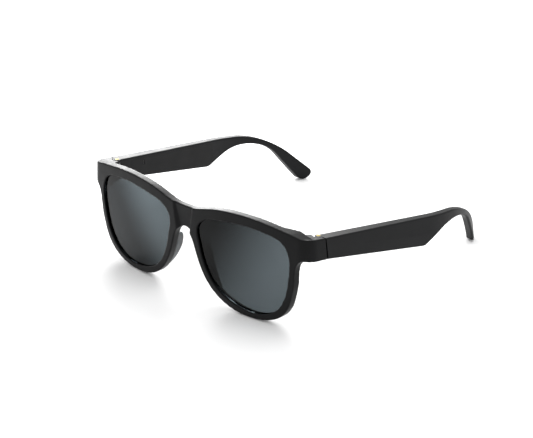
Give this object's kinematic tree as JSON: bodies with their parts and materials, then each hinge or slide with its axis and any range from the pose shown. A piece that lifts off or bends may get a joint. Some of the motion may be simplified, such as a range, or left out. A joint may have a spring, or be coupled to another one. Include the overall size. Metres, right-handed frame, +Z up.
{
  "type": "smart glasses",
  "caption": "Wrap-front glasses with tinted lenses and folding temples that hold batteries, speakers, a microphone and touch control.",
  "frame": {"origin": "middle of the bounding box on the plane that the rims and the temple tips stand on", "axes": "+X is the wearer's left, -Y is the way the wearer looks, +Z is up"},
  "size_m": [0.1538, 0.1355, 0.0492],
  "materials": {
    "frame_front": "satin black moulded nylon",
    "temple_shell": "satin black moulded nylon",
    "temple_cover": "matte black moulded plastic",
    "lens": "grey tinted lens, hard coated",
    "nose_pad": "dark grey silicone",
    "hinge_steel": "blackened stainless steel",
    "hinge_pin": "gold coloured pin head",
    "screw_steel": "plain steel",
    "board": "solder-masked circuit board",
    "chip": "moulded chip package",
    "battery_foil": "laminated pouch cell",
    "speaker_can": "steel speaker can",
    "mesh": "fine black woven mesh",
    "flex": "amber polyimide flex",
    "contact_gold": "gold-plated contact",
    "magnet": "nickel-plated magnet",
    "microphone_can": "metal microphone can"
  },
  "bodies": {
    "front": {"front_frame": "frame_front", "lens_left": "lens", "lens_right": "lens", "nose_pad_left": "nose_pad", "nose_pad_right": "nose_pad", "hinge_front_leaf_left": "hinge_steel", "hinge_front_leaf_right": "hinge_steel", "hinge_pin_left": "hinge_pin", "hinge_pin_right": "hinge_pin", "front_ribbon_cable": "flex"},
    "temple_left": {"temple_housing_left": "temple_shell", "temple_cover_left": "temple_cover", "hinge_temple_leaf_left": "hinge_steel", "leaf_screws_left": "screw_steel", "battery_left": "battery_foil", "circuit_board_left": "board", "board_chips_left": "chip", "speaker_left": "speaker_can", "speaker_mesh_left": "mesh", "temple_ribbon_cable_left": "flex", "touch_sensor_left": "flex", "charging_contacts": "contact_gold", "charging_magnet": "magnet"},
    "temple_right": {"temple_housing_right": "temple_shell", "temple_cover_right": "temple_cover", "hinge_temple_leaf_right": "hinge_steel", "leaf_screws_right": "screw_steel", "battery_right": "battery_foil", "circuit_board_right": "board", "board_chips_right": "chip", "speaker_right": "speaker_can", "speaker_mesh_right": "mesh", "temple_ribbon_cable_right": "flex", "touch_sensor_right": "flex", "microphone": "microphone_can", "microphone_mesh": "mesh"}
  },
  "joints": [
    {"name": "left_temple_fold", "type": "hinge", "parent": "front", "child": "temple_left", "pos_m": [0.069, -0.04797, 0.0385], "axis": [0, 0, 1], "range_deg": [0, 85]},
    {"name": "right_temple_fold", "type": "hinge", "parent": "front", "child": "temple_right", "pos_m": [-0.069, -0.04797, 0.0385], "axis": [0, 0, -1], "range_deg": [0, 72]}
  ]
}
